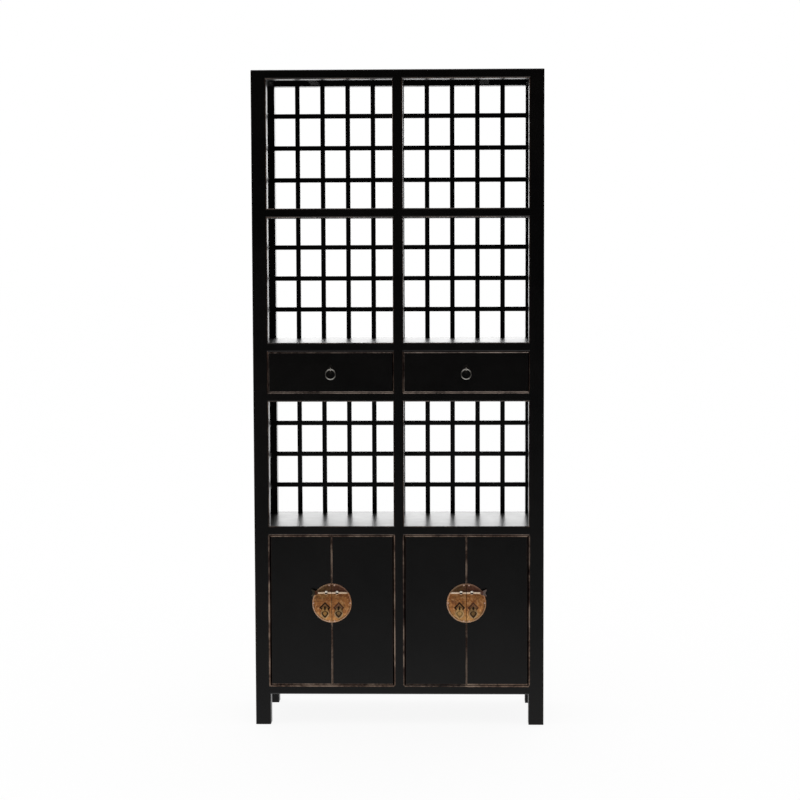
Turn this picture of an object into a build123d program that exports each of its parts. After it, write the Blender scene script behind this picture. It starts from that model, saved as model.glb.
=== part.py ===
from build123d import *
import os
from math import cos, radians, sin

# Book cabinet: a mortised square-section frame with three open tiers backed and
# sided by grid lattice, two drawers between the second and third tier, and a
# cupboard closed by two pairs of pin-hinged door leaves.
# +Z up, floor at Z = 0, front faces -Y, X = 0 is the middle of the width.
# Y = 0 is the middle of the whole depth, door hardware included.

os.makedirs("parts", exist_ok=True)

# ---------------------------------------------------------------- dimensions
WIDTH = 885.0            # over the posts
DEPTH = 340.0            # over the posts, front face to back face
HEIGHT = 2000.0
PROUD = 16.0             # how far the lock pins' eyes stand in front of the posts
POST = 46.0              # square section of the corner posts
RAIL = 28.0              # height of every rail
FRONT_CENTRE = 32.0      # width of the front centre post
REAR_CENTRE = 26.0       # width of the rear centre post
EDGE = 3.0               # worn rounding of the outer arrises
BEAD = 4.0               # rounding round each front opening
LAP = 23.0               # depth of the half laps of rails and centre posts

# undersides of the six rail levels
Z_BOTTOM = 94.0
Z_LOWER = 587.0
Z_DRAWER = 997.0
Z_MIDDLE = 1149.0
Z_UPPER = 1556.0
Z_TOP = HEIGHT - RAIL

BOARD = 12.0             # shelf board thickness
TONGUE = 8.0             # how far boards and panels enter their grooves
BAR = 14.5               # lattice bar width
BAR_DEPTH = 14.0
BAR_TENON = 6.0
PANEL = 8.0              # side and back panel thickness

LEAF = 18.0              # door leaf thickness
LEAF_RECESS = 1.0        # leaf face behind the post face
HINGE_GAP = 2.0          # leaf edge to post
SPLIT_GAP = 1.2          # between the two leaves of a pair
PIVOT = 8.0              # pivot axis from the leaf's edge and from its face
PIVOT_R = 4.0
PIVOT_PLAY = 0.1

PLATE_R = 60.5           # round face plate
PLATE_Z = 378.0
PIN_Z = 411.0
PIN_R = 3.0
EYE_X = 16.5             # eyes of the lock pin from the split
KNOB_R = 6.7             # their round knobs
KNOB_W = 8.4             # width of the knobs along the pin
PULL_X = 21.0            # drop pulls from the split
PULL_Z = 364.0           # their pivot

RING_R = 15.0            # drawer ring, to the middle of the wire
RING_WIRE = 1.7
RING_Z = 1096.0          # its pivot

# ---------------------------------------------------------------- reference planes
YF = -(DEPTH + PROUD) / 2 + PROUD      # front face of the posts
YB = YF + DEPTH                        # back face
YFI = YF + POST                        # back of the front posts
YBI = YB - POST                        # front of the rear posts
XO = WIDTH / 2
XI = XO - POST                         # inner face of the corner posts
FC = FRONT_CENTRE / 2
RC = REAR_CENTRE / 2
LEVELS = [Z_BOTTOM, Z_LOWER, Z_DRAWER, Z_MIDDLE, Z_UPPER, Z_TOP]
NAMES = ["bottom", "lower_shelf", "drawer", "middle_shelf", "upper_shelf", "top"]
TIERS = [("lower", Z_DRAWER, Z_LOWER + RAIL),
         ("middle", Z_UPPER, Z_MIDDLE + RAIL),
         ("upper", Z_TOP, Z_UPPER + RAIL)]      # name, top, bottom of each open tier
SPLIT_X = (FC + XI) / 2                # where two leaves meet


# ---------------------------------------------------------------- helpers
def bx(x0, x1, y0, y1, z0, z1):
    x0, x1 = min(x0, x1), max(x0, x1)
    y0, y1 = min(y0, y1), max(y0, y1)
    z0, z1 = min(z0, z1), max(z0, z1)
    return Pos((x0 + x1) / 2, (y0 + y1) / 2, (z0 + z1) / 2) * Box(x1 - x0, y1 - y0, z1 - z0)


def near(a, b, slack=0.01):
    p, q = a.bounding_box(), b.bounding_box()
    return all(
        getattr(p.min, k) < getattr(q.max, k) + slack and getattr(q.min, k) < getattr(p.max, k) + slack
        for k in "XYZ"
    )


def cut(body, tools):
    use = [t for t in tools if near(body, t)]
    if not use:
        return body
    return body - use


def lump(shapes):
    """Every solid of a list of shapes, as one list."""
    out = []
    for s in shapes:
        out += list(s.solids())
    return out


def save(name, shapes):
    if not isinstance(shapes, (list, tuple)):
        shapes = [shapes]
    solids = lump(shapes)
    export_step(solids[0] if len(solids) == 1 else Compound(children=solids), f"parts/{name}.step")


def facets(r, n=3):
    """Points of a quarter round of radius r as (along, deep): from (r, 0) to (0, r)."""
    return [(r - r * sin(radians(90.0 * k / n)), r - r * cos(radians(90.0 * k / n))) for k in range(n + 1)]


def prism(points, plane, low, high):
    """Straight prism of a polygon. plane XY: points (x, y) swept along Z; XZ: (x, z) along Y; YZ: (y, z) along X."""
    if plane == "XY":
        p = Plane(origin=(0, 0, low), x_dir=(1, 0, 0), z_dir=(0, 0, 1))
    elif plane == "XZ":
        p = Plane(origin=(0, high, 0), x_dir=(1, 0, 0), z_dir=(0, -1, 0))
    else:
        p = Plane(origin=(low, 0, 0), x_dir=(0, 1, 0), z_dir=(1, 0, 0))
    face = make_face((p * Polyline(*points, close=True)).edges())
    return extrude(face, amount=high - low, dir=p.z_dir)


def flare(a0, a1, face, inward, r):
    """Outline of a flared mouth: the opening a0..a1 grows by r towards the face, in the worn quarter round."""
    f = facets(r)
    side0 = [(a0 - a, face + inward * d) for a, d in f]
    side1 = [(a1 + a, face + inward * d) for a, d in reversed(f)]
    return [(a0 - r, face - inward * 2.0)] + side0 + side1 + [(a1 + r, face - inward * 2.0)]


def mouth_y(x0, x1, z0, z1, face, inward, r):
    """Cutter that rounds the arrises round an opening in a face across Y."""
    lo, hi = min(face - inward * 2, face + inward * r), max(face - inward * 2, face + inward * r)
    a = prism(flare(x0, x1, face, inward, r), "XY", z0 - r, z1 + r)
    b = prism([(v, u) for u, v in flare(z0, z1, face, inward, r)], "YZ", x0 - r, x1 + r)
    return a & b


def mouth_x(y0, y1, z0, z1, face, inward, r):
    a = prism([(v, u) for u, v in flare(y0, y1, face, inward, r)], "XY", z0 - r, z1 + r)
    b = prism([(v, u) for u, v in flare(z0, z1, face, inward, r)], "XZ", y0 - r, y1 + r)
    return a & b


def rounded(x0, x1, y0, y1, r):
    """Rectangle with faceted round corners, as points."""
    f = [(a, d) for a, d in facets(r)]
    pts = [(x0 + a, y0 + d) for a, d in f]                       # from (x0+r, y0) to (x0, y0+r)
    pts += [(x0 + d, y1 - a) for a, d in f]
    pts += [(x1 - a, y1 - d) for a, d in f]
    pts += [(x1 - d, y0 + a) for a, d in f]
    return pts


# ---------------------------------------------------------------- frame: raw pieces
envelope = prism(rounded(-XO, XO, YF, YB, EDGE), "XY", 0, HEIGHT)
top = facets(EDGE)
outline = [(-XO, -1), (-XO, HEIGHT - EDGE)] + [(-XO + d, HEIGHT - a) for a, d in top][1:] \
    + [(XO - d, HEIGHT - a) for a, d in reversed(top)] + [(XO, -1)]
envelope = envelope & prism(outline, "XZ", YF - 1, YB + 1)
outline = [(YF, -1), (YF, HEIGHT - EDGE)] + [(YF + d, HEIGHT - a) for a, d in top][1:] \
    + [(YB - d, HEIGHT - a) for a, d in reversed(top)] + [(YB, -1)]
envelope = envelope & prism(outline, "YZ", -XO - 1, XO + 1)

mouths = []
bays_z = [(Z_BOTTOM + RAIL, Z_LOWER), (Z_LOWER + RAIL, Z_DRAWER), (Z_DRAWER + RAIL, Z_MIDDLE),
          (Z_MIDDLE + RAIL, Z_UPPER), (Z_UPPER + RAIL, Z_TOP)]
for z0, z1 in bays_z:
    for s in (-1, 1):
        mouths.append(mouth_y(min(s * FC, s * XI), max(s * FC, s * XI), z0, z1, YF, 1, BEAD))
        mouths.append(mouth_y(min(s * RC, s * XI), max(s * RC, s * XI), z0, z1, YB, -1, 2.0))
        mouths.append(mouth_x(YFI, YBI, z0, z1, s * XO, -s, 2.5))
mouths.append(mouth_y(-XI, XI, -30, Z_BOTTOM, YF, 1, BEAD))
mouths.append(mouth_y(-XI, XI, -30, Z_BOTTOM, YB, -1, 2.0))
for s in (-1, 1):
    mouths.append(mouth_x(YFI, YBI, -30, Z_BOTTOM, s * XO, -s, 2.5))

posts = {}
for sx, nx in ((-1, "left"), (1, "right")):
    posts[f"front_{nx}_post"] = bx(sx * XI, sx * XO, YF, YFI, 0, HEIGHT)
    posts[f"rear_{nx}_post"] = bx(sx * XI, sx * XO, YBI, YB, 0, HEIGHT)

YFT, YBT = YF + 19.0, YB - 19.0        # tenon planes of the long rails
front_rails, rear_rails, left_rails, right_rails = [], [], [], []
for z in LEVELS:
    m = z + RAIL / 2
    r = bx(-XI, XI, YF, YFI, z, z + RAIL)
    r += bx(-XI - 24, XI + 24, YFT - 6, YFT + 6, m - 9, m + 9)
    front_rails.append(r)
    r = bx(-XI, XI, YBI, YB, z, z + RAIL)
    r += bx(-XI - 24, XI + 24, YBT - 6, YBT + 6, m - 9, m + 9)
    rear_rails.append(r)
    for s, group in ((-1, left_rails), (1, right_rails)):
        r = bx(s * XI, s * XO, YFI, YBI, z, z + RAIL)
        c = s * (XI + XO) / 2
        r += bx(c - 6, c + 6, YFI - 14, YBI + 12, m - 9, m + 9)
        group.append(r)

front_centre = bx(-FC, FC, YF, YFI, Z_BOTTOM + RAIL, Z_TOP) \
    + bx(-10, 10, YFT - 6, YFT + 6, Z_BOTTOM + RAIL - 12, Z_TOP + 12)
rear_centre = bx(-RC, RC, YBI, YB, Z_BOTTOM + RAIL, Z_TOP) \
    + bx(-8, 8, YBT - 6, YBT + 6, Z_BOTTOM + RAIL - 12, Z_TOP + 12)
# the shelf rails cross the centre posts in half laps: the rail keeps the outer half
for i in (1, 2, 3, 4):
    z = LEVELS[i]
    front_rails[i] = front_rails[i] - bx(-FC, FC, YF + LAP, YFI, z, z + RAIL)
    front_centre = front_centre - bx(-FC, FC, YF - 1, YF + LAP, z, z + RAIL)
    rear_rails[i] = rear_rails[i] - bx(-RC, RC, YBI, YB - LAP, z, z + RAIL)
    rear_centre = rear_centre - bx(-RC, RC, YB - LAP, YB + 1, z, z + RAIL)

# ---------------------------------------------------------------- boards
boards = []
for z in LEVELS:
    t = z + RAIL
    b = bx(-XI, XI, YFI, YBI, t - BOARD, t)
    b += bx(-XI - TONGUE, XI + TONGUE, YFI, YBI, t - BOARD, t - BOARD / 2)
    b += bx(-XI, XI, YFI - TONGUE, YBI + TONGUE, t - BOARD, t - BOARD / 2)
    boards.append(b)
battens = []
for z in LEVELS:
    t = z + RAIL - BOARD
    battens.append([bx(x - 14, x + 14, YFI - 6, YBI + 6, t - 13, t) for x in (-265, 0 if z in (Z_TOP, Z_BOTTOM) else -90, 265)]
                   if z in (Z_TOP, Z_BOTTOM) else
                   [bx(x - 14, x + 14, YFI - 6, YBI + 6, t - 13, t) for x in (-265, -90, 90, 265)])

# ---------------------------------------------------------------- lattices
def grid(u0, u1, z0, z1, nu, nz):
    """Middles of nu upright and nz level bars with equal clear gaps."""
    gu = (u1 - u0 - nu * BAR) / (nu + 1)
    gz = (z1 - z0 - nz * BAR) / (nz + 1)
    return ([u0 + (k + 1) * gu + (k + 0.5) * BAR for k in range(nu)],
            [z0 + (k + 1) * gz + (k + 0.5) * BAR for k in range(nz)])


YL0 = YBI + 6.0                        # front of the rear lattices
YL1 = YL0 + BAR_DEPTH
h = BAR / 2
lattices = {}
for tier, z1, z0 in TIERS:
    for s, side in ((-1, "left"), (1, "right")):
        u0, u1 = min(s * RC, s * XI), max(s * RC, s * XI)
        us, zs = grid(u0, u1, z0, z1, 4, 3)
        laps_back = [bx(u - h, u + h, YL0 + BAR_DEPTH / 2, YL1, z - h, z + h) for u in us for z in zs]
        laps_front = [bx(u - h, u + h, YL0, YL0 + BAR_DEPTH / 2, z - h, z + h) for u in us for z in zs]
        bars = [cut(bx(u - h, u + h, YL0, YL1, z0 - BAR_TENON, z1 + BAR_TENON), laps_back) for u in us]
        bars += [cut(bx(u0 - BAR_TENON, u1 + BAR_TENON, YL0, YL1, z - h, z + h), laps_front) for z in zs]
        lattices[f"{tier}_{side}_back_lattice"] = bars

XL = (XI + XO) / 2                     # middle plane of the side lattices
side_lattices = {"left": [], "right": []}
for tier, z1, z0 in TIERS:
    us, zs = grid(YFI, YBI, z0, z1, 2, 3)
    for s, side in ((-1, "left"), (1, "right")):
        outer0, outer1 = s * XL, s * (XL + BAR_DEPTH / 2)
        inner0, inner1 = s * (XL - BAR_DEPTH / 2), s * XL
        x0, x1 = s * (XL - BAR_DEPTH / 2), s * (XL + BAR_DEPTH / 2)
        laps_in = [bx(inner0, inner1, u - h, u + h, z - h, z + h) for u in us for z in zs]
        laps_out = [bx(outer0, outer1, u - h, u + h, z - h, z + h) for u in us for z in zs]
        side_lattices[side] += [cut(bx(x0, x1, u - h, u + h, z0 - BAR_TENON, z1 + BAR_TENON), laps_in) for u in us]
        side_lattices[side] += [cut(bx(x0, x1, YFI - BAR_TENON, YBI + BAR_TENON, z - h, z + h), laps_out) for z in zs]

# ---------------------------------------------------------------- closed panels
YP0, YP1 = YB - 30.0, YB - 30.0 + PANEL
back_panels = []
for z0, z1 in (bays_z[0], bays_z[2]):
    for s in (-1, 1):
        back_panels.append(bx(s * (RC - TONGUE), s * (XI + TONGUE), YP0, YP1, z0 - TONGUE, z1 + TONGUE))
XP1 = XO - 9.0
side_panels = {"left": [], "right": []}
for s, side in ((-1, "left"), (1, "right")):
    for z0, z1 in (bays_z[0], bays_z[2]):
        side_panels[side].append(bx(s * (XP1 - PANEL), s * XP1, YFI - TONGUE, YBI + TONGUE, z0 - TONGUE, z1 + TONGUE))

# ---------------------------------------------------------------- drawer partition and guides
ZD0, ZD1 = bays_z[2]
partition = bx(-9, 9, YFI, YBI, ZD0, Z_MIDDLE + RAIL - BOARD - 13)
partition = partition + bx(-9, 9, YFI, YBI, ZD0, ZD1)
guides = [bx(s * (XI + 0.0), s * (XP1 - PANEL), YFI, YBI, ZD0, ZD0 + 22) for s in (-1, 1)]

# ---------------------------------------------------------------- mortises and grooves
all_bars = [b for v in lattices.values() for b in v] + side_lattices["left"] + side_lattices["right"]
all_panels = back_panels + side_panels["left"] + side_panels["right"]
all_battens = [b for v in battens for b in v]
inner = all_bars + all_panels + boards + all_battens
inner_solids = inner

boards = [cut(b, []) for b in boards]
front_rails = [cut(r, inner_solids + [front_centre] + mouths) for r in front_rails]
rear_rails = [cut(r, inner_solids + [rear_centre] + mouths) for r in rear_rails]
left_rails = [cut(r, inner_solids + mouths) for r in left_rails]
right_rails = [cut(r, inner_solids + mouths) for r in right_rails]
front_rails[5] = front_rails[5] & envelope
rear_rails[5] = rear_rails[5] & envelope
left_rails[5] = left_rails[5] & envelope
right_rails[5] = right_rails[5] & envelope
front_centre = cut(front_centre, inner_solids + mouths)
rear_centre = cut(rear_centre, inner_solids + mouths)
frame_rails = front_rails + rear_rails + left_rails + right_rails
for n in posts:
    posts[n] = cut(posts[n] & envelope, frame_rails + inner_solids + mouths)

# ---------------------------------------------------------------- pivot sockets of the door leaves
YV = YF + LEAF_RECESS + PIVOT          # pivot axis
XV_OUT = XI - HINGE_GAP - PIVOT
XV_IN = FC + HINGE_GAP + PIVOT
LEAF_Z0, LEAF_Z1 = Z_BOTTOM + RAIL + 2, Z_LOWER - 2
sockets = []
for s in (-1, 1):
    for xv in (XV_OUT, XV_IN):
        for z0, z1 in ((Z_BOTTOM + RAIL - 12.5, Z_BOTTOM + RAIL + 1), (Z_LOWER - 1, Z_LOWER + 12.5)):
            sockets.append(Pos(s * xv, YV, (z0 + z1) / 2) * Cylinder(PIVOT_R + PIVOT_PLAY, z1 - z0))
front_rails[0] = cut(front_rails[0], sockets)
front_rails[1] = cut(front_rails[1], sockets)

for n, p in posts.items():
    save(n, p)
save("front_centre_post", front_centre)
save("rear_centre_post", rear_centre)
for n, r in zip(NAMES, front_rails):
    save(f"{n}_front_rail", r)
save("rear_rails", rear_rails)
save("left_side_rails", left_rails)
save("right_side_rails", right_rails)
for n, b, t in zip(["bottom_board", "lower_shelf_board", "drawer_support_board", "middle_shelf_board",
                    "upper_shelf_board", "top_board"], boards, battens):
    save(n, [b] + t)
for n, v in lattices.items():
    save(n, v)
save("left_side_lattices", side_lattices["left"])
save("right_side_lattices", side_lattices["right"])
save("back_panels", back_panels)
save("left_side_panels", side_panels["left"])
save("right_side_panels", side_panels["right"])
save("drawer_partition_and_guides", [partition] + guides)

# ---------------------------------------------------------------- door leaves
YD0 = YF + LEAF_RECESS                 # face of the leaves
YD1 = YD0 + LEAF


def leaf(x_hinge, x_free, s_free):
    """A board leaf from its hinge edge to its free edge, s_free +1 when the free edge lies towards +X."""
    r = 6.0
    f = facets(r, 4)
    c = 1.0                            # small chamfer of the free edge
    pts = [(x_hinge + s_free * a, YD0 + d) for a, d in f]
    pts += [(x_hinge, YD1 - 1.0), (x_hinge + s_free * 1.0, YD1)]
    pts += [(x_free, YD1), (x_free, YD0 + c), (x_free - s_free * c, YD0)]
    body = prism(pts, "XY", LEAF_Z0, LEAF_Z1)
    lo, hi = min(x_hinge, x_free) - 1, max(x_hinge, x_free) + 1
    body = body & prism([(YD0 + c, LEAF_Z0), (YD1, LEAF_Z0), (YD1, LEAF_Z1), (YD0 + c, LEAF_Z1),
                         (YD0, LEAF_Z1 - c), (YD0, LEAF_Z0 + c)], "YZ", lo, hi)
    xv = x_hinge + s_free * PIVOT
    for z0, z1 in ((LEAF_Z0 - 13, LEAF_Z0 + 8), (LEAF_Z1 - 8, LEAF_Z1 + 13)):
        body = body + Pos(xv, YV, (z0 + z1) / 2) * Cylinder(PIVOT_R, z1 - z0)
    a, b = x_hinge + s_free * 26, x_free - s_free * 22
    bats = []
    for zc in (LEAF_Z0 + 75, LEAF_Z1 - 75):
        # sliding dovetail batten, let 4 mm into the back of the board
        pts = [(YD1 - 4, zc - 17), (YD1 + 10, zc - 14), (YD1 + 10, zc + 14), (YD1 - 4, zc + 17)]
        bats.append(prism(pts, "YZ", min(a, b), max(a, b)))
    body = cut(body, bats)
    return body, bats


def ring_x(x, y, z, major, minor):
    """Torus whose axis runs along X."""
    return Pos(x, y, z) * Rot(0, 90, 0) * Torus(major, minor)


def rod_y(x, z, y0, y1, r):
    return Pos(x, (y0 + y1) / 2, z) * Rot(90, 0, 0) * Cylinder(r, abs(y1 - y0))


def cotter(x, z, y_eye, major, minor, y_back, r, leg):
    """Split pin: eye across X in front, shank through the board, legs clinched up and down on its back."""
    return ring_x(x, y_eye, z, major, minor) + rod_y(x, z, y_eye + major - 0.7, y_back + 1.2, r) \
        + bx(x - 1.1, x + 1.1, y_back, y_back + 1.2, z - leg, z + leg)


def rod_x(x0, x1, y, z, r):
    return Pos((x0 + x1) / 2, y, z) * Rot(0, 90, 0) * Cylinder(r, abs(x1 - x0))


def knob_eye(x, z, y_eye, y_back, r, leg):
    """Round knob bored across X for the lock pin; shank through the board, legs clinched up and down on its back."""
    knob = Pos(x, y_eye, z) * Sphere(KNOB_R)
    knob = knob & bx(x - KNOB_W / 2, x + KNOB_W / 2, y_eye - 8, y_eye + 8, z - 8, z + 8)
    knob = knob - rod_x(x - KNOB_W, x + KNOB_W, y_eye, z, PIN_R + 0.5)
    return knob + rod_y(x, z, y_eye + 5.4, y_back + 1.2, r) \
        + bx(x - 1.1, x + 1.1, y_back, y_back + 1.2, z - leg, z + leg)


def diamond(x, z, half_w, half_h, y0, y1):
    """Lozenge back plate between two planes across Y, with a bevelled front."""
    lo, hi = min(y0, y1), max(y0, y1)
    base = prism([(x - half_w, z), (x, z - half_h), (x + half_w, z), (x, z + half_h)], "XZ", lo, hi)
    face = [e for e in base.faces().sort_by(Axis.Y)][0]
    return chamfer(face.edges(), 0.7)


def nail(x, z, y_seat, r=2.6):
    """Domed nail: a low head on a short shank that enters the leaf."""
    head = Pos(x, y_seat, z) * Sphere(r)
    head = head & bx(x - r, x + r, y_seat - r * 0.75, y_seat, z - r, z + r)
    return head + rod_y(x, z, y_seat - 0.5, YD0 + 6, 1.1)


def dome_height(d):
    return 1.9 + 3.1 * (1 - (d / 55.5) ** 2) if d < 55.5 else 2.4


def face_plate(xc):
    """Whole round plate, domed, with a raised rim; back flat on the leaves."""
    with BuildPart() as p:
        with BuildSketch(Plane.XY):
            with BuildLine():
                Polyline((0, 5.0), (0, 0), (PLATE_R, 0), (PLATE_R, 1.6), (PLATE_R - 1.0, 2.7),
                         (PLATE_R - 3.2, 2.7), (PLATE_R - 5.0, 1.9))
                ThreePointArc((PLATE_R - 5.0, 1.9), (27.75, 1.9 + 3.1 * 0.7525), (0, 5.0))
            make_face()
        revolve(axis=Axis.Y)
    # revolved about Y: height runs along +Y, turned to face -Y
    return Pos(xc, YD0, PLATE_Z) * Rot(0, 0, 180) * p.part


def half_plate(xc, s):
    whole = face_plate(xc)
    g = SPLIT_GAP / 2
    x0, x1 = (xc + g, xc + PLATE_R + 2) if s > 0 else (xc - PLATE_R - 2, xc - g)
    half = whole & bx(x0, x1, YD0 - 8, YD0 + 1, PLATE_Z - 70, PLATE_Z + 70)
    ex, px = xc + s * EYE_X, xc + s * PULL_X
    he = dome_height(((EYE_X) ** 2 + (PIN_Z - PLATE_Z) ** 2) ** 0.5)
    ye = YD0 - 10.3                    # lock pin axis
    eye = knob_eye(ex, PIN_Z, ye, YD1, 1.7, 10.0)
    yp = YD0 - 10.3                    # drop pull axis
    loz = diamond(px, PULL_Z, 16.0, 16.5, YD0 - 5.4, YD0 - 3.2)
    pull_eye = cotter(px, PULL_Z, yp, 3.7, 1.1, YD1, 1.3, 8.0)
    nails = []
    for dx, dz in ((8.0, 55.0), (55.8, 0.0), (8.0, -55.0)):
        nails.append(nail(xc + s * dx, PLATE_Z + dz, YD0 - 1.6))
    loz = cut(loz, [pull_eye])
    half = cut(half, [eye, pull_eye, loz] + nails)
    return [half, loz, eye, pull_eye] + nails, [eye, pull_eye] + nails


def drop_pull(x):
    """Shield-shaped drop with a pointed foot, sunk field and a slot for its eye."""
    yp = YD0 - 10.3
    z = PULL_Z
    half = [(4.6, 1.8), (8.0, -2.5), (11.2, -9.0), (13.3, -16.0), (12.6, -22.0), (9.4, -27.0), (4.8, -30.8)]
    out = [(x + u, z + v) for u, v in half] + [(x, z - 33.0)] + [(x - u, z + v) for u, v in reversed(half)]
    body = prism(out, "XZ", yp - 1.1, yp + 1.1)
    front = body.faces().sort_by(Axis.Y)[0]
    body = chamfer(front.edges(), 0.5)
    half = [(5.5, -9.5), (8.5, -12.0), (10.6, -16.5), (9.9, -21.0), (7.4, -25.0), (3.6, -28.3)]
    field = [(x + u, z + v) for u, v in half] + [(x, z - 29.8)] + [(x - u, z + v) for u, v in reversed(half)]
    body = body - prism(field, "XZ", yp - 2, yp - 0.5)
    body = body - bx(x - 2.4, x + 2.4, yp - 3, yp + 3, z - 6.4, z - 1.5)
    return body


def pin_head(xc, s):
    """Head half of the lock pin, on the outer leaf: rod and fish-tail head."""
    y = YD0 - 10.3
    x_in, x_neck, x_end = xc + s * (SPLIT_GAP / 2), xc + s * 45.0, xc + s * 62.0
    rod = rod_x(x_in, x_neck + s * 2, y, PIN_Z, PIN_R)
    pts = [(x_neck - s * 3.0, PIN_Z - 3.0), (x_neck + s * 2.0, PIN_Z - 6.0), (x_neck + s * 7.0, PIN_Z - 7.0),
           (x_end - s * 2.0, PIN_Z - 11.0), (x_end, PIN_Z - 9.0), (x_end - s * 4.5, PIN_Z), (x_end, PIN_Z + 9.0),
           (x_end - s * 2.0, PIN_Z + 11.0), (x_neck + s * 7.0, PIN_Z + 7.0), (x_neck + s * 2.0, PIN_Z + 6.0),
           (x_neck - s * 3.0, PIN_Z + 3.0)]
    return rod + prism(pts, "XZ", y - 2.2, y + 2.2)


def pin_tail(xc, s):
    """Tail half, on the inner leaf: rod with a tapered tip."""
    y = YD0 - 10.3
    x_in, x_end = xc + s * (SPLIT_GAP / 2), xc + s * 50.0
    rod = rod_x(x_in, x_end - s * 4, y, PIN_Z, PIN_R)
    tip = Pos(x_end - s * 2.5, y, PIN_Z) * Rot(0, 90 * s, 0) * Cone(PIN_R, 1.2, 5.0)
    return rod + tip


for s, side in ((-1, "left"), (1, "right")):
    xc = s * SPLIT_X
    for who, x_hinge, towards in (("outer", s * (XI - HINGE_GAP), -s), ("inner", s * (FC + HINGE_GAP), s)):
        x_free = xc - towards * SPLIT_GAP / 2
        board, bats = leaf(x_hinge, x_free, towards)
        pieces, through = half_plate(xc, -towards)
        board = cut(board, through)
        save(f"{side}_{who}_door_leaf", [board] + bats)
        save(f"{side}_{who}_door_plate", pieces)
        save(f"{side}_{who}_door_pull", drop_pull(xc - towards * PULL_X))
    save(f"{side}_lock_pin_head", pin_head(xc, s))
    save(f"{side}_lock_pin_tail", pin_tail(xc, -s))

# ---------------------------------------------------------------- drawers
DF = 18.0                              # drawer front thickness
for s, side in ((-1, "left"), (1, "right")):
    x0, x1 = sorted((s * (FC + 1.5), s * (XI - 1.5)))
    xc = (x0 + x1) / 2
    z0, z1 = ZD0 + 1.5, ZD1 - 1.5
    # front board, with small chamfers round its face
    c = 1.2
    front = prism([(x0 + c, YD0), (x1 - c, YD0), (x1, YD0 + c), (x1, YD0 + DF), (x0, YD0 + DF), (x0, YD0 + c)],
                  "XY", z0, z1)
    front = front & prism([(YD0, z0 + c), (YD0 + c, z0), (YD0 + DF, z0), (YD0 + DF, z1), (YD0 + c, z1), (YD0, z1 - c)],
                          "YZ", x0 - 1, x1 + 1)
    bx0, bx1 = x0 + 3, x1 - 3
    zb, zt = ZD0 + 0.6, ZD1 - 12
    y_front, y_back = YD0 + DF, YBI - 22
    sides = [bx(bx0, bx0 + 12, y_front - 8, y_back, zb, zt), bx(bx1 - 12, bx1, y_front - 8, y_back, zb, zt)]
    back = bx(bx0 + 6, bx1 - 6, y_back - 22, y_back - 10, zb + 10, zt - 4)
    floor = bx(bx0 + 7, bx1 - 7, y_front - 5, y_back - 2, zb + 8, zb + 14)
    sides = [cut(v, [back, floor]) for v in sides]
    back = cut(back, [floor])
    front = cut(front, sides + [floor])
    # ring pull: lozenge plate, cotter eye and ring
    yr = YD0 - 7.0
    eye = cotter(xc, RING_Z, yr, 4.1, 1.3, YD0 + DF, 1.4, 8.0)
    loz = diamond(xc, RING_Z, 12.0, 15.0, YD0 - 1.6, YD0)
    loz = cut(loz, [eye])
    front = cut(front, [eye])
    ring = Pos(xc, yr, RING_Z - RING_R) * Rot(90, 0, 0) * Torus(RING_R, RING_WIRE)
    save(f"{side}_drawer_front", front)
    save(f"{side}_drawer_box", sides + [back])
    save(f"{side}_drawer_bottom", floor)
    save(f"{side}_drawer_ring_mount", [loz, eye])
    save(f"{side}_drawer_ring", ring)

print("nodes written:", len(os.listdir("parts")))
print("reference planes:", "YF", YF, "YB", YB, "YFI", YFI, "YBI", YBI, "XI", XI, "XO", XO, "split", SPLIT_X,
      "leaf face", YD0, "pivot y", YV, "pivot x", XV_OUT, XV_IN, "leaf z", LEAF_Z0, LEAF_Z1, "lattice y", YL0, YL1)
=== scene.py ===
import bpy
from mathutils import Matrix, Vector

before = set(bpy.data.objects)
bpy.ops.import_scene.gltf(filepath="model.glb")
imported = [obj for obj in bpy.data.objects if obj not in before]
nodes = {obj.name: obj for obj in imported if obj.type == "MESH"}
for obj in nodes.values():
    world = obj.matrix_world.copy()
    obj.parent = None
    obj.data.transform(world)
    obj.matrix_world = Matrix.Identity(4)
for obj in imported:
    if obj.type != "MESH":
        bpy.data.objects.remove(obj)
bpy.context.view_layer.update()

# Reference planes of the cabinet, metres
YF = -0.162          # front face of the posts
YD = -0.161          # face of the door leaves and drawer fronts
YDB = YD + 0.018     # their backs
XI, XO = 0.3965, 0.4425
SPLIT = 0.20625      # where two leaves of a pair meet
PLATE_Z, PLATE_R = 0.378, 0.0605
PIN_Z, PULL_Z, RING_Z = 0.411, 0.364, 1.096
AXIS_Y = YD - 0.0103  # lock pin and drop pulls
RING_Y = YD - 0.007


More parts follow.
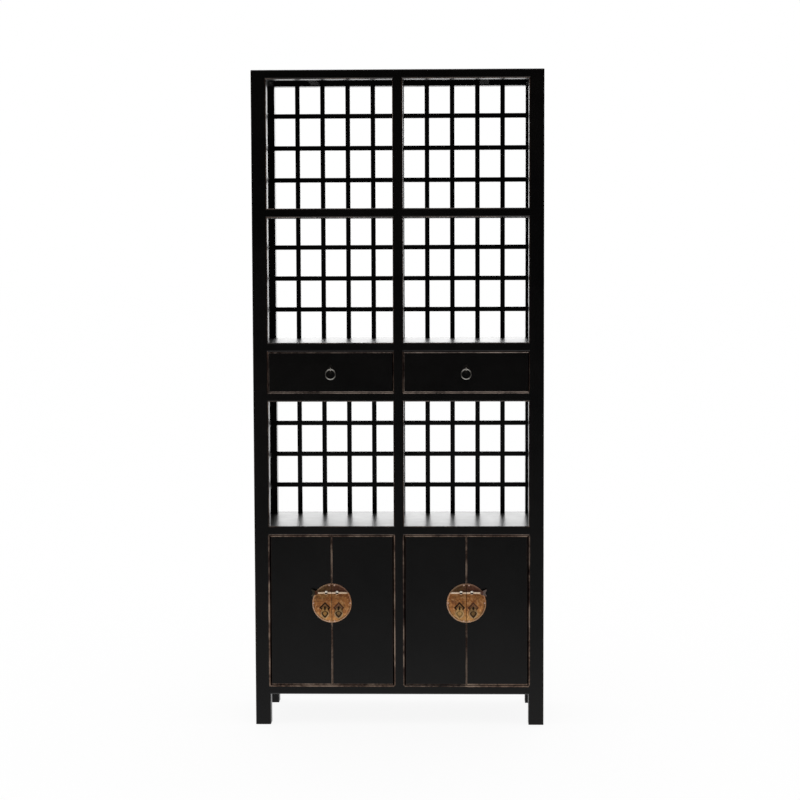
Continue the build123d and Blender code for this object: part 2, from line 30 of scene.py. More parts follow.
# ------------------------------------------------------------------ node helper
class Nodes:
    """Builds a node tree from sockets and plain numbers."""

    def __init__(self, tree):
        self.t = tree
        tree.nodes.clear()

    def new(self, kind, **props):
        n = self.t.nodes.new(kind)
        for k, v in props.items():
            setattr(n, k, v)
        return n

    def put(self, socket, value):
        if isinstance(value, bpy.types.NodeSocket):
            self.t.links.new(value, socket)
        elif isinstance(value, (tuple, list)) and len(value) == 3 and socket.type == "RGBA":
            socket.default_value = (*value, 1.0)
        else:
            socket.default_value = value

    def math(self, op, a, b=None, c=None, clamp=False):
        n = self.new("ShaderNodeMath", operation=op, use_clamp=clamp)
        for i, v in enumerate((a, b, c)):
            if v is not None:
                self.put(n.inputs[i], v)
        return n.outputs[0]

    def add(self, *v):
        r = v[0]
        for k in v[1:]:
            r = self.math("ADD", r, k)
        return r

    def mul(self, *v):
        r = v[0]
        for k in v[1:]:
            r = self.math("MULTIPLY", r, k)
        return r

    def top(self, *v):
        r = v[0]
        for k in v[1:]:
            r = self.math("MAXIMUM", r, k)
        return r

    def low(self, *v):
        r = v[0]
        for k in v[1:]:
            r = self.math("MINIMUM", r, k)
        return r

    def inv(self, a):
        return self.math("SUBTRACT", 1.0, a)

    def abs(self, a):
        return self.math("ABSOLUTE", a)

    def step(self, lo, hi, v):
        """0 at lo, 1 at hi, smooth between; lo may be the larger."""
        n = self.new("ShaderNodeMapRange", interpolation_type="SMOOTHSTEP")
        self.put(n.inputs["Value"], v)
        n.inputs["From Min"].default_value, n.inputs["From Max"].default_value = lo, hi
        return n.outputs["Result"]

    def span(self, v, lo, hi, a, b):
        n = self.new("ShaderNodeMapRange", interpolation_type="LINEAR")
        self.put(n.inputs["Value"], v)
        n.inputs["From Min"].default_value, n.inputs["From Max"].default_value = lo, hi
        n.inputs["To Min"].default_value, n.inputs["To Max"].default_value = a, b
        return n.outputs["Result"]

    def scaled(self, vec, s):
        n = self.new("ShaderNodeVectorMath", operation="MULTIPLY")
        self.put(n.inputs[0], vec)
        n.inputs[1].default_value = s
        return n.outputs[0]

    def shifted(self, vec, other, amount):
        """vec plus a noise colour, centred, times amount: bends a pattern."""
        a = self.new("ShaderNodeVectorMath", operation="SUBTRACT")
        self.put(a.inputs[0], other)
        a.inputs[1].default_value = (0.5, 0.5, 0.5)
        b = self.new("ShaderNodeVectorMath", operation="MULTIPLY_ADD")
        self.put(b.inputs[0], a.outputs[0])
        b.inputs[1].default_value = (amount,) * 3
        self.put(b.inputs[2], vec)
        return b.outputs[0]

    def split(self, vec):
        n = self.new("ShaderNodeSeparateXYZ")
        self.put(n.inputs[0], vec)
        return n.outputs[0], n.outputs[1], n.outputs[2]

    def noise(self, vec, scale, detail=3.0, rough=0.5, warp=0.0, color=False):
        n = self.new("ShaderNodeTexNoise")
        self.put(n.inputs["Vector"], vec)
        n.inputs["Scale"].default_value = scale
        n.inputs["Detail"].default_value = detail
        n.inputs["Roughness"].default_value = rough
        n.inputs["Distortion"].default_value = warp
        return n.outputs["Color" if color else "Fac"]

    def cells(self, vec, scale, feature="F1", rand=1.0):
        n = self.new("ShaderNodeTexVoronoi", feature=feature)
        self.put(n.inputs["Vector"], vec)
        n.inputs["Scale"].default_value = scale
        n.inputs["Randomness"].default_value = rand
        return n.outputs["Distance"]

    def mix(self, f, a, b):
        n = self.new("ShaderNodeMix", data_type="RGBA")
        self.put(n.inputs[0], f)
        self.put(n.inputs[6], a)
        self.put(n.inputs[7], b)
        return n.outputs[2]

    def ramp(self, f, stops):
        n = self.new("ShaderNodeValToRGB")
        self.put(n.inputs[0], f)
        e = n.color_ramp.elements
        while len(e) < len(stops):
            e.new(0.5)
        for k, (p, c) in zip(e, stops):
            k.position, k.color = p, (*c, 1.0)
        return n.outputs[0]

    def bump(self, height, distance, normal=None, strength=1.0):
        n = self.new("ShaderNodeBump")
        n.inputs["Strength"].default_value = strength
        n.inputs["Distance"].default_value = distance
        self.put(n.inputs["Height"], height)
        if normal is not None:
            self.put(n.inputs["Normal"], normal)
        return n.outputs[0]


def material(name):
    m = bpy.data.materials.new(name)
    m.use_nodes = True
    g = Nodes(m.node_tree)
    g.m = m
    out = g.new("ShaderNodeOutputMaterial")
    g.b = g.new("ShaderNodeBsdfPrincipled")
    g.t.links.new(g.b.outputs[0], out.inputs[0])
    tc = g.new("ShaderNodeTexCoord")
    g.P, g.N = tc.outputs["Object"], tc.outputs["Normal"]
    return g


def finish_material(g, color, rough, normal, metallic=None, **fixed):
    g.put(g.b.inputs["Base Color"], color)
    g.put(g.b.inputs["Roughness"], rough)
    if metallic is not None:
        g.put(g.b.inputs["Metallic"], metallic)
    g.put(g.b.inputs["Normal"], normal)
    for k, v in fixed.items():
        g.b.inputs[k.replace("_", " ")].default_value = v
    return g.m


# ------------------------------------------------------------------ lacquer
BLACK = (0.0009, 0.00085, 0.00085)
SOOT = (0.0022, 0.0018, 0.0016)
UNDER = (0.019, 0.0060, 0.0038)       # thin lacquer over the red-brown ground
WOOD_DARK = (0.062, 0.034, 0.022)
WOOD = (0.170, 0.104, 0.072)
WOOD_PALE = (0.325, 0.235, 0.178)
WORN_GREY_AND_HIGHLIGHT = (0.400, 0.335, 0.300)


def lacquer(name, along, wear, gloss=0.36):
    """Satin black lacquer. along is the axis of the grain; wear(g, round_, x, y, z) gives how worn a point is, 0 to 1."""
    g = material(name)
    x, y, z = g.split(g.P)
    nx, ny, nz = (g.abs(v) for v in g.split(g.N))
    largest = g.top(nx, ny, nz)
    round_ = g.top(g.step(0.93, 0.80, largest), g.mul(g.step(0.985, 0.950, largest), 0.78))   # a rounded arris, most at its middle
    stretch = {"x": (0.06, 1, 1), "y": (1, 0.06, 1), "z": (1, 1, 0.06), "": (1, 1, 1)}[along]
    long_p = g.scaled(g.P, stretch)
    patches = g.noise(g.P, 3.1, 4.0, 0.55)
    mottle = g.noise(g.P, 26.0, 3.0, 0.6)
    fine = g.noise(g.P, 210.0, 2.0, 0.5)
    grain = g.noise(long_p, 240.0, 4.0, 0.6, 0.3)
    run = g.noise(g.P, 15.0, 3.0, 0.6)                    # wear comes and goes along an edge
    specks = g.noise(g.P, 120.0, 3.0, 0.65)

    worn = wear(g, round_, x, y, z)
    amount = g.mul(worn, g.span(run, 0.34, 0.60, 0.64, 1.0))
    shown = g.mul(g.step(0.24, 0.66, g.add(amount, g.mul(specks, 0.30), -0.15)), g.step(0.02, 0.12, worn))
    halo = g.mul(g.step(0.04, 0.50, g.add(amount, g.mul(mottle, 0.14), -0.07)), g.step(0.02, 0.12, worn))
    wood = g.mix(g.step(0.40, 0.64, g.add(run, g.mul(grain, 0.35), -0.17)), g.mix(g.step(0.35, 0.60, specks), WOOD_DARK, WOOD), WOOD_PALE)
    if wear in (wear_rail, wear_drawer):                  # round the drawers the worn wood is paler and greyer: wear together with a painted highlight on the beads
        wood = g.mix(g.mul(g.step(1.012, 1.016, z), g.step(1.156, 1.152, z), 0.60), wood, WORN_GREY_AND_HIGHLIGHT)
    base = g.mix(g.step(0.30, 0.75, patches), BLACK, SOOT)
    base = g.mix(g.mul(halo, 0.85), base, UNDER)
    color = g.mix(shown, base, wood)
    nx_, ny_, up = g.split(g.N)
    if name == "lacquer_top_board":                       # dulled by dust on its upper side
        color = g.mix(g.mul(g.step(0.5, 0.9, up), g.span(g.add(mottle, g.mul(g.add(patches, -0.5), 0.8)), 0.30, 0.70, 0.75, 1.0)), color, (0.0232, 0.0228, 0.0228))

    rough = g.add(0.215, g.mul(g.add(patches, -0.5), 0.10), g.mul(g.add(mottle, -0.5), 0.07), g.mul(g.add(grain, -0.5), 0.04))
    rough = g.add(rough, g.mul(shown, 0.30))
    if name not in ("lacquer_leaves", "lacquer_drawer_fronts"):                       # only the fronts were rubbed out fine
        rough = g.add(rough, g.mul(g.step(-0.9, -0.5, ny_), 0.095))
    if "board" in name:                                   # undersides are matt
        rough = g.add(rough, g.mul(g.step(-0.3, -0.7, up), 0.75))
    h = g.add(g.mul(fine, 0.35), g.mul(grain, 0.40), g.mul(mottle, 1.6), g.mul(shown, -2.0))
    normal = g.bump(h, 0.00006, strength=0.55)
    return finish_material(g, color, rough, normal, Specular_IOR_Level=gloss)


def bays(g, x, a, b, c, d):
    """One value for each half bay, from left to right."""
    left, right = g.step(-0.200, -0.212, x), g.step(0.200, 0.212, x)
    mid = g.mul(g.inv(left), g.inv(right))
    return g.add(g.mul(left, a), g.mul(right, d), g.mul(mid, g.step(0.004, -0.004, x), b), g.mul(mid, g.step(-0.004, 0.004, x), c))


def wear_front(g, round_, x, y, z, doors_by, drawers_by, flat):
    """Front frame: the round of each opening is rubbed through, most at the doors and under the drawers, least at the open tiers and the feet."""
    ax = g.abs(x)
    inner = g.mul(g.step(0.4402, 0.4392, ax), g.step(1.9974, 1.9964, z))
    front = g.step(-0.1570, -0.1590, y)
    doors = g.mul(g.step(0.104, 0.112, z), g.step(0.5915, 0.5898, z))
    drawers = g.mul(g.step(1.0155, 1.0175, z), g.step(1.1560, 1.1540, z))
    level = g.add(g.mul(g.inv(doors), g.inv(drawers), 0.40), g.mul(doors, doors_by), g.mul(drawers, drawers_by))
    level = g.mul(level, g.step(0.094, 0.104, z))
    face = g.mul(g.step(-0.1612, -0.1617, y), flat)
    return g.add(g.mul(round_, front, inner, level), g.mul(face, g.top(g.mul(doors, doors_by), g.mul(drawers, drawers_by))),
                 g.mul(round_, g.inv(inner), 0.30))


def wear_post(g, round_, x, y, z):
    """Posts: worn most along the left pair of doors, low down, and on the left of each drawer."""
    ax = g.abs(x)
    doors = bays(g, x, g.span(z, 0.37, 0.45, 1.40, 0.46), 0.72, g.span(z, 0.30, 0.45, 0.53, 0.43), g.span(z, 0.20, 0.42, 0.70, 0.44))
    drawers = bays(g, x, 0.54, 0.38, 0.44, 0.32)
    beside = g.mul(g.top(g.mul(g.step(0.4025, 0.4002, ax), g.step(0.3960, 0.3970, ax)), g.mul(g.step(0.0100, 0.0122, ax), g.step(0.030, 0.020, ax))),
                   g.step(0.1215, 0.1235, z), g.step(0.5875, 0.5855, z), 0.50)
    return wear_front(g, round_, x, y, z, doors, drawers, beside)


def wear_rail(g, round_, x, y, z):
    """Rails: the sills of the doors and drawers are worn broad, the undersides above them little."""
    ax = g.abs(x)
    across = g.mul(g.step(0.0155, 0.0175, ax), g.step(0.3980, 0.3960, ax))
    sill = g.step(0.30, 0.20, z)
    low = bays(g, x, 0.70, 0.66, 0.38, 1.20)
    high = bays(g, x, 0.78, 0.62, 0.70, 0.74)
    doors = g.add(g.mul(low, sill), g.mul(high, g.inv(sill)))
    drawers = g.add(g.mul(bays(g, x, 0.50, 0.60, 0.60, 0.66), g.step(1.06, 1.04, z)), g.mul(0.26, g.step(1.04, 1.06, z)))
    flat = g.mul(across, g.top(g.mul(g.step(0.1165, 0.1185, z), g.step(0.1230, 0.1222, z), 0.72),
                               g.mul(g.step(1.0216, 1.0228, z), g.step(1.0258, 1.0250, z), 0.50)))
    return wear_front(g, round_, x, y, z, doors, drawers, flat)


def wear_leaf(g, round_, x, y, z):
    """Door leaf: rubbed where the two leaves of a pair meet, at its head and its foot, a little at its hinge edge."""
    d = g.abs(g.math("SUBTRACT", g.abs(x), SPLIT))
    face = g.step(-0.1560, -0.1590, y)
    low = g.step(0.56, 0.18, z)
    pair = bays(g, x, 0.84, 0.84, g.span(z, 0.24, 0.30, 0.54, 0.80), g.span(z, 0.24, 0.30, 0.54, 0.80))
    split = g.mul(g.step(0.0033, 0.0014, d), g.add(0.80, g.mul(low, 0.20)), pair)
    head = g.mul(g.step(0.5818, 0.5832, z), bays(g, x, 0.80, 0.62, 0.64, 0.72))
    foot = g.mul(g.step(0.1275, 0.1262, z), bays(g, x, 0.60, 0.56, 0.34, 0.92))
    return g.top(g.mul(face, g.top(split, head, foot)), g.mul(round_, face, g.step(0.012, 0.03, d), 0.30))


def wear_drawer(g, round_, x, y, z):
    """Drawer front: its head and foot are rubbed, the right one more, and its left edge."""
    face = g.step(-0.1560, -0.1598, y)
    head = g.mul(g.step(1.1442, 1.1456, z), bays(g, x, 0.36, 0.38, 0.56, 0.62))
    foot = g.mul(g.step(1.0288, 1.0276, z), bays(g, x, 0.50, 0.60, 0.60, 0.66))
    side = g.mul(round_, g.top(g.step(-0.3918, -0.3932, x), g.mul(g.step(0.0, 0.004, x), g.step(0.0202, 0.0190, x), 0.7)), 0.48)
    return g.add(g.mul(face, g.top(head, foot, side)), g.mul(round_, 0.12))


def wear_slight(g, round_, x, y, z):
    return g.mul(round_, 0.30)


def wear_none(g, round_, x, y, z):
    return g.mul(round_, 0.12)


lac = {
    "front_post": lacquer("lacquer_front_posts", "z", wear_post),
    "front_rail": lacquer("lacquer_front_rails", "x", wear_rail),
    "post": lacquer("lacquer_rear_posts", "z", wear_slight),
    "rail_x": lacquer("lacquer_rails", "x", wear_slight),
    "rail_y": lacquer("lacquer_side_rails", "y", wear_slight),
    "board": lacquer("lacquer_boards", "x", wear_none),
    "top": lacquer("lacquer_top_board", "x", wear_none, 0.14),
    "lattice": lacquer("lacquer_lattice", "", wear_none),
    "panel": lacquer("lacquer_panels", "z", wear_none),
    "leaf": lacquer("lacquer_leaves", "z", wear_leaf),
    "drawer": lacquer("lacquer_drawer_fronts", "x", wear_drawer),
}


# ------------------------------------------------------------------ unlacquered wood inside
def bare_wood(name, along):
    g = material(name)
    stretch = {"x": (0.045, 1, 1), "y": (1, 0.045, 1)}[along]
    bend = g.noise(g.P, 2.4, 2.0, 0.5, color=True)
    p = g.shifted(g.scaled(g.P, stretch), bend, 0.030)
    rings = g.new("ShaderNodeTexWave", wave_type="RINGS", rings_direction="X" if along == "x" else "Y")
    g.put(rings.inputs["Vector"], p)
    rings.inputs["Scale"].default_value = 26.0
    rings.inputs["Distortion"].default_value = 5.0
    rings.inputs["Detail"].default_value = 3.0
    rings.inputs["Detail Scale"].default_value = 1.6
    pores = g.noise(p, 620.0, 2.0, 0.5)
    broad = g.noise(g.P, 5.0, 3.0, 0.5)
    color = g.ramp(rings.outputs["Fac"], [(0.0, (0.215, 0.125, 0.066)), (0.45, (0.330, 0.212, 0.118)), (0.8, (0.395, 0.268, 0.158)), (1.0, (0.270, 0.160, 0.085))])
    color = g.mix(g.mul(g.step(0.56, 0.70, pores), 0.55), color, (0.110, 0.062, 0.034))
    color = g.mix(g.mul(g.step(0.40, 0.75, broad), 0.45), color, (0.175, 0.105, 0.060))
    rough = g.add(0.62, g.mul(pores, 0.16), g.mul(rings.outputs["Fac"], -0.05))
    normal = g.bump(g.add(g.mul(pores, 0.7), g.mul(rings.outputs["Fac"], 0.5)), 0.00012, strength=0.6)
    return finish_material(g, color, rough, normal, Specular_IOR_Level=0.35)


wood_x, wood_y = bare_wood("wood_across", "x"), bare_wood("wood_along", "y")


# ------------------------------------------------------------------ brass
def brass(name, kind):
    """Aged brass: orange-brown metal under uneven patina. kind: plate, pull, pin, grey, dark."""
    g = material(name)
    x, y, z = g.split(g.P)
    dx = g.math("SUBTRACT", g.abs(x), SPLIT)                                    # from the split, + towards the hinge of the outer leaf
    u = g.math("SUBTRACT", x, g.mul(g.math("SIGN", x), SPLIT))                  # from the split, + to the right
    right, pair = g.step(-0.002, 0.002, u), g.step(-0.1, 0.1, x)                # right leaf of its pair; right pair
    bend = g.noise(g.P, 60.0, 2.0, 0.5, color=True)
    p = g.shifted(g.P, bend, 0.012)
    cloud = g.noise(p, 48.0, 5.0, 0.62)
    broad = g.noise(g.shifted(g.P, bend, 0.004), 21.0, 3.0, 0.55)
    blotch = g.noise(g.P, 135.0, 3.0, 0.6)
    spots = g.noise(g.P, 240.0, 4.0, 0.62)
    wash = g.noise(g.scaled(p, (1, 1, 0.45)), 85.0, 4.0, 0.6)
    pits = g.step(0.34, 0.10, g.cells(g.P, 520.0))
    geo = g.new("ShaderNodeNewGeometry")
    raised, bright = g.step(0.52, 0.62, geo.outputs["Pointiness"]), (0.86, 0.62, 0.40)
    if kind == "grey":
        color = g.ramp(cloud, [(0.25, (0.135, 0.122, 0.108)), (0.5, (0.300, 0.282, 0.255)), (0.75, (0.460, 0.440, 0.405))])
        color = g.mix(g.mul(g.step(0.55, 0.75, spots), 0.6), color, (0.080, 0.066, 0.052))
        color = g.mix(g.mul(raised, 0.5), color, (0.60, 0.58, 0.54))
        level = g.abs(g.math("SUBTRACT", z, RING_Z - 0.015))
        color = g.mix(g.mul(g.step(0.0095, 0.0150, level), 0.7), g.mix(g.step(0.0100, 0.0040, level), color, (0.095, 0.088, 0.080)), (0.560, 0.540, 0.505))
        metal, rough = 0.85, g.add(0.30, g.mul(spots, 0.20))
    elif kind == "dark":
        color = g.ramp(cloud, [(0.25, (0.004, 0.0034, 0.003)), (0.5, (0.010, 0.0085, 0.007)), (0.78, (0.024, 0.020, 0.016))])
        # the eye is bare metal
        color = g.mix(g.step(-0.1632, -0.1642, y), color, (0.420, 0.390, 0.350))
        metal, rough = 0.8, g.add(0.38, g.mul(spots, 0.22))
    elif kind == "pin":
        color = g.ramp(cloud, [(0.25, (0.470, 0.320, 0.200)), (0.5, (0.690, 0.520, 0.370)), (0.8, (0.840, 0.700, 0.560))])
        color = g.mix(g.mul(g.step(0.58, 0.76, spots), 0.5), color, (0.230, 0.120, 0.065))
        # the fish-tail heads have gone dark, the left one most
        tail = g.step(0.0400, 0.0435, dx)
        warm = g.ramp(cloud, [(0.30, (0.120, 0.080, 0.068)), (0.55, (0.270, 0.200, 0.180)), (0.80, (0.420, 0.350, 0.330))])
        cold = g.ramp(cloud, [(0.30, (0.022, 0.019, 0.012)), (0.55, (0.060, 0.052, 0.036)), (0.80, (0.130, 0.118, 0.090))])
        tailed = g.mix(pair, cold, warm)
        tailed = g.mix(g.mul(tail, g.step(0.0530, 0.0490, g.add(dx, g.mul(g.add(spots, -0.5), 0.006))), 0.80), tailed, (0.095, 0.028, 0.014))
        color = g.mix(tail, color, tailed)
        metal, rough = 0.9, g.add(0.24, g.mul(spots, 0.16), g.mul(tail, 0.14))
    elif kind == "pull":
        uu = g.abs(g.math("SUBTRACT", g.abs(dx), 0.021))
        v = g.math("SUBTRACT", z, PULL_Z)
        q = g.add(g.math("POWER", g.math("DIVIDE", uu, 0.0106), 1.25),                   # 1 at the border of the sunk, pointed field
                  g.math("POWER", g.span(v, -0.0165, -0.0298, 0.0, 1.0), 1.35),
                  g.math("POWER", g.span(v, -0.0165, -0.0090, 0.0, 1.0), 2.2))
        q = g.add(q, g.mul(g.add(spots, -0.5), 0.10))
        tan = g.ramp(cloud, [(0.25, (0.330, 0.170, 0.055)), (0.50, (0.560, 0.320, 0.110)), (0.78, (0.740, 0.470, 0.190))])
        olive = g.ramp(cloud, [(0.25, (0.095, 0.052, 0.020)), (0.50, (0.200, 0.115, 0.045)), (0.78, (0.340, 0.215, 0.095))])
        color = g.mix(g.mul(right, 0.85), tan, olive)
        color = g.mix(g.mul(g.inv(pair), g.inv(right), 0.65), color, (0.420, 0.200, 0.050))
        color = g.mix(g.mul(g.step(0.50, 0.74, wash), 0.35), color, (0.150, 0.080, 0.035))
        groove = g.mul(g.step(0.36, 0.60, q), g.step(1.12, 0.96, q), g.add(0.50, g.mul(g.top(right, g.inv(pair)), 0.45)))
        color = g.mix(groove, color, (0.034, 0.015, 0.006))
        # painted highlight: a pale rim round the pull, paler towards its foot
        rim = g.mul(g.step(0.96, 1.10, q), g.span(spots, 0.35, 0.65, 0.55, 1.0))
        foot = g.step(-0.007, -0.017, v)
        color = g.mix(g.mul(rim, g.add(0.12, g.mul(foot, 0.55))), color, (0.820, 0.560, 0.310))
        # shade and dirt round the eye
        ve = g.add(v, 0.0012)
        hole = g.step(0.0042, 0.0030, g.math("SQRT", g.add(g.mul(uu, uu), g.mul(ve, ve))))
        color = g.mix(hole, color, (0.012, 0.006, 0.004))
        metal, rough = 0.78, g.add(0.26, g.mul(spots, 0.22), g.mul(hole, 0.25), g.mul(groove, 0.15))
    else:
        color = g.ramp(cloud, [(0.18, (0.182, 0.056, 0.019)), (0.38, (0.350, 0.122, 0.038)), (0.55, (0.510, 0.200, 0.060)), (0.70, (0.630, 0.285, 0.100)), (0.88, (0.730, 0.405, 0.190))])
        color = g.mix(g.mul(g.step(0.50, 0.72, wash), 0.45), color, (0.230, 0.100, 0.055))
        color = g.mix(g.mul(g.step(0.46, 0.66, broad), 0.45), color, (0.330, 0.190, 0.066))
        color = g.mix(g.mul(g.step(0.52, 0.66, blotch), 0.60), color, (0.150, 0.062, 0.030))
        color = g.mix(g.mul(g.step(0.47, 0.35, blotch), 0.50), color, (0.880, 0.520, 0.240))
        color = g.mix(g.mul(g.step(0.61, 0.78, spots), 0.50), color, (0.080, 0.036, 0.020))
        dz_ = g.math("SUBTRACT", z, PLATE_Z)
        rad = g.math("SQRT", g.add(g.mul(dx, dx), g.mul(dz_, dz_)))
        # painted reflection: the lower part of the plate is painted a lighter orange
        color = g.mix(g.mul(g.step(-0.020, -0.050, dz_), 0.30), color, (0.560, 0.310, 0.100))
        # hand polishing has left faint lines from the middle outwards
        ray = g.new("ShaderNodeCombineXYZ")
        g.put(ray.inputs[0], g.mul(g.math("ARCTAN2", dz_, u), 0.9))
        g.put(ray.inputs[1], g.mul(rad, 4.0))
        streak = g.noise(ray.outputs[0], 16.0, 4.0, 0.65)
        color = g.mix(g.mul(g.step(0.52, 0.70, streak), 0.35), color, (0.820, 0.480, 0.190))
        color = g.mix(g.mul(g.step(0.46, 0.30, streak), 0.35), color, (0.180, 0.075, 0.030))
        # above the lock pin the plate is darker, reddish to the right, olive to the left
        above = g.step(0.4085, 0.4135, g.add(z, g.mul(g.add(spots, -0.5), 0.004)))
        darker_above_pin = g.mix(g.step(-0.030, 0.010, g.add(u, g.mul(g.add(blotch, -0.5), 0.05))), (0.130, 0.082, 0.036), (0.105, 0.042, 0.034))
        darker_above_pin = g.mix(g.mul(g.step(0.45, 0.65, blotch), 0.6), darker_above_pin, (0.045, 0.018, 0.012))
        color = g.mix(g.mul(above, g.span(broad, 0.35, 0.65, 0.94, 0.78)), color, darker_above_pin)
        # nail heads
        nail = 0.0
        for a_, b_ in ((0.008, 0.055), (-0.008, 0.055), (0.008, -0.055), (-0.008, -0.055), (0.0558, 0.0)):
            a = g.math("SUBTRACT", g.abs(dx) if a_ == 0.0558 else dx, a_)
            b = g.math("SUBTRACT", dz_, b_)
            one = g.step(0.0029, 0.0018, g.math("SQRT", g.add(g.mul(a, a), g.mul(b, b))))
            nail = one if nail == 0.0 else g.top(nail, one)
        # painted highlight: a pale rim, brightest low down and on the left
        rim = g.mul(g.step(0.0562, 0.0574, rad), g.span(blotch, 0.38, 0.62, 0.40, 1.0))
        color = g.mix(g.mul(rim, 0.80, g.span(dz_, -0.03, 0.05, 1.0, 0.30), g.span(u, 0.0, 0.05, 1.0, 0.45)), color, (0.900, 0.630, 0.460))
        groove = g.mul(g.step(0.0535, 0.0550, rad), g.step(0.0568, 0.0556, rad))
        color = g.mix(g.mul(groove, g.span(cloud, 0.40, 0.62, 0.65, 0.0)), color, (0.100, 0.042, 0.022))
        seam = g.mul(g.step(0.0022, 0.0010, g.abs(dx)), g.step(0.0580, 0.0565, rad))
        color = g.mix(g.mul(seam, 0.25), color, (0.150, 0.070, 0.030))
        # the diamond mounts of the pulls: a brown tone inside them, and a painted shadow round their edges, blackest on
        # the left one
        ex = g.math("SUBTRACT", g.abs(dx), 0.021)
        ez = g.math("SUBTRACT", z, PULL_Z)
        m = g.add(g.math("DIVIDE", g.abs(ex), 0.0160), g.math("DIVIDE", g.abs(ez), 0.0165))
        m = g.add(m, g.mul(g.add(spots, -0.5), 0.12))
        inside = g.step(1.02, 0.96, m)
        edge = g.mul(g.step(0.64, 0.76, m), g.step(1.16, 1.04, m))
        color = g.mix(g.mul(inside, 0.55), color, g.mix(right, (0.300, 0.175, 0.080), (0.240, 0.135, 0.095)))
        color = g.mix(g.mul(edge, g.mix(right, (0.97, 0.97, 0.97), (0.80, 0.80, 0.80))), color, g.mix(right, (0.016, 0.008, 0.004), (0.060, 0.022, 0.012)))
        # painted shade in the eye of each pull
        core = g.mul(g.step(0.0036, 0.0028, g.abs(ex)), g.step(0.0066, 0.0058, g.abs(ez)), g.step(-0.1668, -0.1674, y))
        color = g.mix(core, color, (0.012, 0.006, 0.004))
        # painted highlights: the nail heads are painted pale
        color = g.mix(g.mul(nail, 0.80), color, (0.900, 0.650, 0.520))
        # knobs of the lock pin: a white painted highlight on top, painted shade round the bore, tan below
        k = g.abs(g.math("SUBTRACT", g.abs(dx), 0.0165))
        kz = g.math("SUBTRACT", z, PIN_Z)
        knob = g.mul(g.step(0.0050, 0.0046, k), g.step(0.0078, 0.0072, g.abs(kz)), g.step(-0.1650, -0.1656, y))
        face = g.mix(g.step(-0.0022, -0.0036, kz), (0.020, 0.010, 0.006), (0.560, 0.400, 0.260))
        face = g.mix(g.step(0.0004, 0.0018, kz), face, (0.960, 0.880, 0.770))
        color = g.mix(knob, color, face)
        metal = 0.80
        rough = g.add(0.25, g.mul(spots, 0.20), g.mul(above, 0.12), g.mul(edge, 0.25), g.mul(core, 0.3), g.mul(rim, 0.10))
        rough = g.math("SUBTRACT", rough, g.mul(knob, 0.14))
    rough = g.add(rough, g.mul(pits, 0.10))
    h = g.add(g.mul(cloud, 1.1), g.mul(spots, 0.55), g.mul(pits, -0.35))
    normal = g.bump(h, 0.00022, strength=0.6)
    return finish_material(g, color, rough, normal, Metallic=metal, Specular_IOR_Level=0.5)


br = {k: brass("brass_" + k, k) for k in ("plate", "pull", "pin", "grey", "dark")}


# ------------------------------------------------------------------ materials on the CAD nodes
def paint(node, mat):
    o = nodes[node]
    for s in o.material_slots:
        s.material = mat


for n in nodes:
    if n.startswith("front_") and n.endswith("post"):
        paint(n, lac["front_post"])
    elif n.endswith("front_rail"):
        paint(n, lac["front_rail"])
    elif n.endswith("_post"):
        paint(n, lac["post"])
    elif n == "rear_rails":
        paint(n, lac["rail_x"])
    elif n.endswith("side_rails"):
        paint(n, lac["rail_y"])
    elif n.endswith("_board"):
        paint(n, lac["top" if n == "top_board" else "board"])
    elif "lattice" in n:
        paint(n, lac["lattice"])
    elif n.endswith("panels"):
        paint(n, lac["panel"])
    elif n.endswith("door_leaf"):
        paint(n, lac["leaf"])
    elif n.endswith("drawer_front"):
        paint(n, lac["drawer"])
    elif n.endswith("drawer_bottom"):
        paint(n, wood_x)
    elif n.endswith("drawer_box") or n == "drawer_partition_and_guides":
        paint(n, wood_y)
    elif n.endswith("drawer_ring"):
        paint(n, br["grey"])
    elif n.endswith("ring_mount"):
        paint(n, br["dark"])
    elif "lock_pin" in n:
        paint(n, br["pin"])
    elif n.endswith("door_pull"):
        paint(n, br["pull"])
    else:
        paint(n, br["plate"])


# ------------------------------------------------------------------ floor, light, camera
def floor():
    m = bpy.data.materials.new("pale_floor")
    m.use_nodes = True
    g = Nodes(m.node_tree)
    out = g.new("ShaderNodeOutputMaterial")
    a = g.new("ShaderNodeBsdfDiffuse")
    a.inputs["Color"].default_value = (0.86, 0.86, 0.86, 1)
    b = g.new("ShaderNodeEmission")
    b.inputs["Strength"].default_value = 1.05
    mix = g.new("ShaderNodeMixShader")
    mix.inputs[0].default_value = 0.86
    g.t.links.new(a.outputs[0], mix.inputs[1])
    g.t.links.new(b.outputs[0], mix.inputs[2])
    g.t.links.new(mix.outputs[0], out.inputs[0])
    s = 60.0
    me = bpy.data.meshes.new("floor")
    me.from_pydata([(-s, -s, 0), (s, -s, 0), (s, s, 0), (-s, s, 0)], [], [(0, 1, 2, 3)])
    me.materials.append(m)
    o = bpy.data.objects.new("floor", me)
    bpy.context.scene.collection.objects.link(o)
    o.visible_glossy = False


floor()

world = bpy.data.worlds.new("studio")
bpy.context.scene.world = world
world.use_nodes = True
g = Nodes(world.node_tree)
out = g.new("ShaderNodeOutputWorld")
tc = g.new("ShaderNodeTexCoord")
dx, dy, dz = g.split(tc.outputs["Generated"])
lp = g.new("ShaderNodeLightPath")
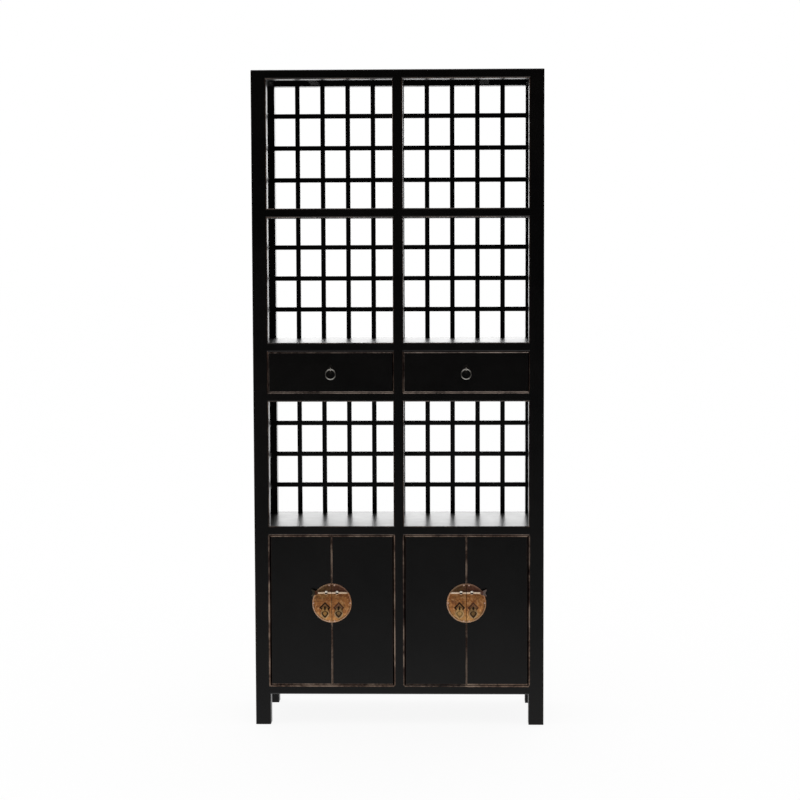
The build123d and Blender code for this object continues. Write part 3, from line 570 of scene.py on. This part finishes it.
# what the gloss sees: dark room in front, brighter floor below, a bright wall behind, a soft ceiling light
rise = g.new("ShaderNodeValToRGB")
g.put(rise.inputs[0], g.span(dz, -1.0, 1.0, 0.0, 1.0))
room = [(-1.0, 0.95), (-0.42, 1.10), (-0.33, 0.95), (-0.25, 0.52), (-0.19, 0.225), (-0.12, 0.052), (-0.03, 0.014), (0.10, 0.011),
        (0.42, 0.03), (0.62, 0.80), (1.0, 1.15)]
els = rise.color_ramp.elements
while len(els) < len(room):
    els.new(0.5)
for e, (h, v) in zip(els, room):
    e.position, e.color = (h + 1) / 2, (v / 2, v / 2, v / 2, 1.0)
level = g.mul(rise.outputs[0], 2.0)
wall = g.new("ShaderNodeValToRGB")
g.put(wall.inputs[0], g.span(dz, -1.0, 1.0, 0.0, 1.0))
glow = [(-0.30, 0.0), (-0.22, 0.65), (-0.13, 1.65), (0.0, 2.40), (0.05, 2.65), (0.14, 2.85), (0.26, 2.95), (0.42, 2.40), (0.55, 1.20), (0.65, 0.0)]
els = wall.color_ramp.elements
while len(els) < len(glow):
    els.new(0.5)
for e, (h, v) in zip(els, glow):
    e.position, e.color = (h + 1) / 2, (v / 3, v / 3, v / 3, 1.0)
level = g.top(level, g.mul(g.step(0.78, 0.93, dy), wall.outputs[0], 3.0))
side = g.mul(g.step(0.50, 0.95, g.abs(dx)), g.step(-0.10, 0.15, dz))
level = g.top(level, g.mul(side, 0.22))
seen = lp.outputs["Is Camera Ray"]
light = g.add(g.mul(seen, 1.0), g.mul(g.inv(seen), level))
bg = g.new("ShaderNodeBackground")
bg.inputs["Color"].default_value = (1, 1, 1, 1)
g.put(bg.inputs["Strength"], light)
g.t.links.new(bg.outputs[0], out.inputs[0])

cam = bpy.data.cameras.new("camera")
cam.sensor_width, cam.lens = 36.0, 90.70
cam.shift_x, cam.shift_y = 0.0, -0.015
cam.clip_start, cam.clip_end = 0.1, 200.0
co = bpy.data.objects.new("camera", cam)
bpy.context.scene.collection.objects.link(co)
R, U, F = Vector((0.999665, 0.025620, -0.003566)), Vector((0.001667, 0.073776, 0.997273)), Vector((-0.025813, 0.996946, -0.073708))
co.matrix_world = Matrix(((R.x, U.x, -F.x, 0.1633), (R.y, U.y, -F.y, -6.2722), (R.z, U.z, -F.z, 1.4907), (0, 0, 0, 1)))
bpy.context.scene.camera = co
bpy.context.scene.view_settings.view_transform = "Standard"
bpy.context.scene.view_settings.look = "None"
